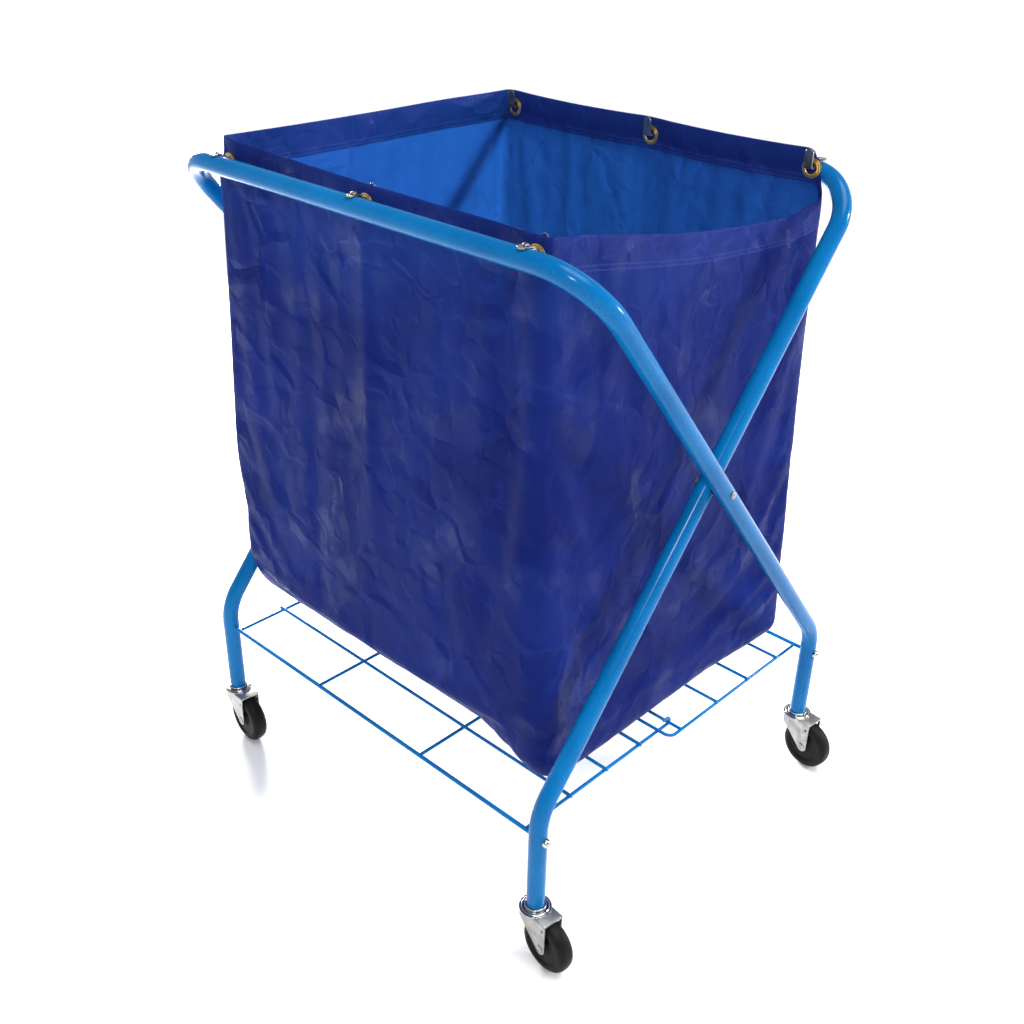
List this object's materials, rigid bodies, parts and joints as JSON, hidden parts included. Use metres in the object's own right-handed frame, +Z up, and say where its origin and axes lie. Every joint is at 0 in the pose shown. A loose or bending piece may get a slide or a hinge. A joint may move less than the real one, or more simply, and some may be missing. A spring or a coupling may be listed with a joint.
{
  "type": "folding laundry cart",
  "caption": "Folding laundry cart: two crossed blue tube frames on swivel casters hold an open cloth bag by hooks and eyelets over a folding wire shelf.",
  "frame": {"origin": "middle of the whole cart's footprint, on the floor under the wheels", "axes": "+Z up; +Y along the top rails, away from the near end; +X across the cart, from the outer frame's rail to the inner frame's rail"},
  "size_m": [0.657, 0.8296, 0.999],
  "materials": {
    "tube_paint": "azure powder coat, gloss with a fine grain",
    "wire_paint": "azure coat on wire, slightly darker",
    "cloth": "royal blue woven cloth with a slight sheen",
    "hook_steel": "dark grey steel strip",
    "eyelet_brass": "worn brass",
    "chrome_trim": "bright plated steel",
    "zinc_plate": "satin zinc-plated pressed steel",
    "wheel_rubber": "black, matt",
    "spacer_plastic": "black washer"
  },
  "bodies": {
    "outer_frame_body": {"outer_frame": "tube_paint", "bag": "cloth", "pivot_bolt_near": "zinc_plate", "pivot_bolt_far": "zinc_plate", "pivot_spacer_near": "spacer_plastic", "pivot_spacer_far": "spacer_plastic", "pivot_nut_near": "zinc_plate", "pivot_nut_far": "zinc_plate", "outer_near_hook": "hook_steel", "outer_near_hook_rivet": "hook_steel", "outer_near_eyelet": "eyelet_brass", "outer_middle_hook": "hook_steel", "outer_middle_hook_rivet": "hook_steel", "outer_middle_eyelet": "eyelet_brass", "outer_far_hook": "hook_steel", "outer_far_hook_rivet": "hook_steel", "outer_far_eyelet": "eyelet_brass", "outer_near_caster_stem": "chrome_trim", "outer_near_caster_race": "chrome_trim", "outer_far_caster_stem": "chrome_trim", "outer_far_caster_race": "chrome_trim"},
    "inner_frame_body": {"inner_frame": "tube_paint", "inner_near_hook": "hook_steel", "inner_near_hook_rivet": "hook_steel", "inner_near_eyelet": "eyelet_brass", "inner_middle_hook": "hook_steel", "inner_middle_hook_rivet": "hook_steel", "inner_middle_eyelet": "eyelet_brass", "inner_far_hook": "hook_steel", "inner_far_hook_rivet": "hook_steel", "inner_far_eyelet": "eyelet_brass", "inner_near_caster_stem": "chrome_trim", "inner_near_caster_race": "chrome_trim", "inner_far_caster_stem": "chrome_trim", "inner_far_caster_race": "chrome_trim", "inner_rod_pin_near": "wire_paint", "inner_rod_pin_far": "wire_paint", "inner_rod_cap_near": "chrome_trim", "inner_rod_cap_far": "chrome_trim"},
    "outer_shelf_body": {"outer_shelf_half": "wire_paint", "outer_rod_cap_near": "chrome_trim", "outer_rod_cap_far": "chrome_trim"},
    "inner_shelf_body": {"inner_shelf_half": "wire_paint"},
    "outer_near_swivel_body": {"outer_near_caster_fork": "zinc_plate", "outer_near_caster_axle": "zinc_plate"},
    "outer_near_wheel_body": {"outer_near_caster_wheel": "wheel_rubber"},
    "outer_far_swivel_body": {"outer_far_caster_fork": "zinc_plate", "outer_far_caster_axle": "zinc_plate"},
    "outer_far_wheel_body": {"outer_far_caster_wheel": "wheel_rubber"},
    "inner_near_swivel_body": {"inner_near_caster_fork": "zinc_plate", "inner_near_caster_axle": "zinc_plate"},
    "inner_near_wheel_body": {"inner_near_caster_wheel": "wheel_rubber"},
    "inner_far_swivel_body": {"inner_far_caster_fork": "zinc_plate", "inner_far_caster_axle": "zinc_plate"},
    "inner_far_wheel_body": {"inner_far_caster_wheel": "wheel_rubber"}
  },
  "joints": [
    {"name": "frame_fold", "type": "hinge", "parent": "outer_frame_body", "child": "inner_frame_body", "pos_m": [0, 0.02334, 0.61982], "axis": [0, -1, 0], "range_deg": [0, 48], "deforming": ["bag"]},
    {"name": "shelf_lift", "type": "hinge", "parent": "outer_frame_body", "child": "outer_shelf_body", "pos_m": [0.306, 0.02334, 0.213], "axis": [0, 1, 0], "range_deg": [0, 43.62]},
    {"name": "shelf_knee", "type": "hinge", "parent": "outer_shelf_body", "child": "inner_shelf_body", "pos_m": [0, 0.02334, 0.21565], "axis": [0, -1, 0], "range_deg": [0, 135.24]},
    {"name": "outer_near_swivel", "type": "hinge", "parent": "outer_frame_body", "child": "outer_near_swivel_body", "pos_m": [0.306, -0.34566, 0.09], "axis": [0, 0, 1], "continuous": true},
    {"name": "outer_near_roll", "type": "hinge", "parent": "outer_near_swivel_body", "child": "outer_near_wheel_body", "pos_m": [0.30356, -0.37355, 0.041], "axis": [0.9962, -0.0872, 0], "continuous": true},
    {"name": "outer_far_swivel", "type": "hinge", "parent": "outer_frame_body", "child": "outer_far_swivel_body", "pos_m": [0.306, 0.39234, 0.09], "axis": [0, 0, 1], "continuous": true},
    {"name": "outer_far_roll", "type": "hinge", "parent": "outer_far_swivel_body", "child": "outer_far_wheel_body", "pos_m": [0.30356, 0.36445, 0.041], "axis": [0.9962, -0.0872, 0], "continuous": true},
    {"name": "inner_near_swivel", "type": "hinge", "parent": "inner_frame_body", "child": "inner_near_swivel_body", "pos_m": [-0.306, -0.31766, 0.09], "axis": [0, 0, 1], "continuous": true},
    {"name": "inner_near_roll", "type": "hinge", "parent": "inner_near_swivel_body", "child": "inner_near_wheel_body", "pos_m": [-0.30844, -0.34555, 0.041], "axis": [0.9962, -0.0872, 0], "continuous": true},
    {"name": "inner_far_swivel", "type": "hinge", "parent": "inner_frame_body", "child": "inner_far_swivel_body", "pos_m": [-0.306, 0.36434, 0.09], "axis": [0, 0, 1], "continuous": true},
    {"name": "inner_far_roll", "type": "hinge", "parent": "inner_far_swivel_body", "child": "inner_far_wheel_body", "pos_m": [-0.30844, 0.33645, 0.041], "axis": [0.9962, -0.0872, 0], "continuous": true}
  ],
  "couplings": [
    {"joint": "shelf_lift", "follows": "frame_fold", "ratio": 0.9086},
    {"joint": "shelf_knee", "follows": "frame_fold", "ratio": 2.8173}
  ]
}
